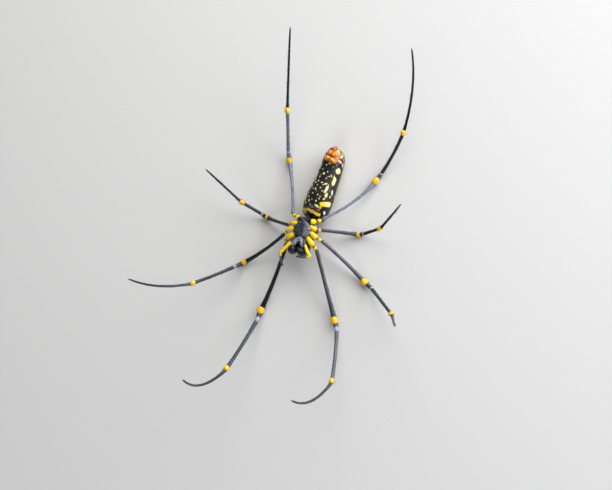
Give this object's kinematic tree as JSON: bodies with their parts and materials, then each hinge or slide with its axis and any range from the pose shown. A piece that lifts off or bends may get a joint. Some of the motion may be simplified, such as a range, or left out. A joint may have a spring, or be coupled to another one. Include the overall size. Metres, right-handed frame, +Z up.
{
  "type": "golden orb weaver spider, life-size model",
  "caption": "Large orb-weaving spider lying belly up with long banded legs raised, black with yellow joints and a spotted belly.",
  "frame": {"origin": "on the floor under the middle of the spider's bounding box", "axes": "+Z up, out of the belly; +Y towards the tail; +X the spider's right side"},
  "size_m": [0.1026, 0.1358, 0.0418],
  "materials": {
    "leg": "smooth black cuticle with a slate-grey sheen and fine hairs",
    "coxa": "bright golden-yellow cuticle, orange where it thickens",
    "shield": "black cuticle with short silver-grey down",
    "abdomen": "satin black cuticle with cream and yellow blotches and white dots",
    "spinneret": "orange-red to brown cuticle with fine hairs",
    "jaw": "polished black cuticle",
    "mouthparts": "dark grey cuticle with pale grey fringes",
    "eye": "clear lens over black"
  },
  "bodies": {
    "root": {"abdomen": "abdomen", "anal_tubercle": "spinneret", "carapace": "shield", "chelicera_left": "jaw", "chelicera_right": "jaw", "eye_front_middle_left": "eye", "eye_front_middle_right": "eye", "eye_front_side_left": "eye", "eye_front_side_right": "eye", "eye_rear_middle_left": "eye", "eye_rear_middle_right": "eye", "eye_rear_side_left": "eye", "eye_rear_side_right": "eye", "fang_left": "jaw", "fang_right": "jaw", "labium": "mouthparts", "leg1_left_coxa": "coxa", "leg1_left_femur": "leg", "leg1_left_foot": "leg", "leg1_left_tibia": "leg", "leg1_right_coxa": "coxa", "leg1_right_femur": "leg", "leg1_right_foot": "leg", "leg1_right_tibia": "leg", "leg2_left_coxa": "coxa", "leg2_left_femur": "leg", "leg2_left_foot": "leg", "leg2_left_tibia": "leg", "leg2_right_coxa": "coxa", "leg2_right_femur": "leg", "leg2_right_foot": "leg", "leg2_right_tibia": "leg", "leg3_left_coxa": "coxa", "leg3_left_femur": "leg", "leg3_left_foot": "leg", "leg3_left_tibia": "leg", "leg3_right_coxa": "coxa", "leg3_right_femur": "leg", "leg3_right_foot": "leg", "leg3_right_tibia": "leg", "leg4_left_coxa": "coxa", "leg4_left_femur": "leg", "leg4_left_foot": "leg", "leg4_left_tibia": "leg", "leg4_right_coxa": "coxa", "leg4_right_femur": "leg", "leg4_right_foot": "leg", "leg4_right_tibia": "leg", "maxilla_left": "mouthparts", "maxilla_right": "mouthparts", "palp_left_femur": "coxa", "palp_left_tip": "mouthparts", "palp_right_femur": "coxa", "palp_right_tip": "mouthparts", "pedicel": "shield", "spinneret_front_left": "spinneret", "spinneret_front_right": "spinneret", "spinneret_rear_left": "spinneret", "spinneret_rear_right": "spinneret", "sternum": "shield"}
  },
  "joints": []
}
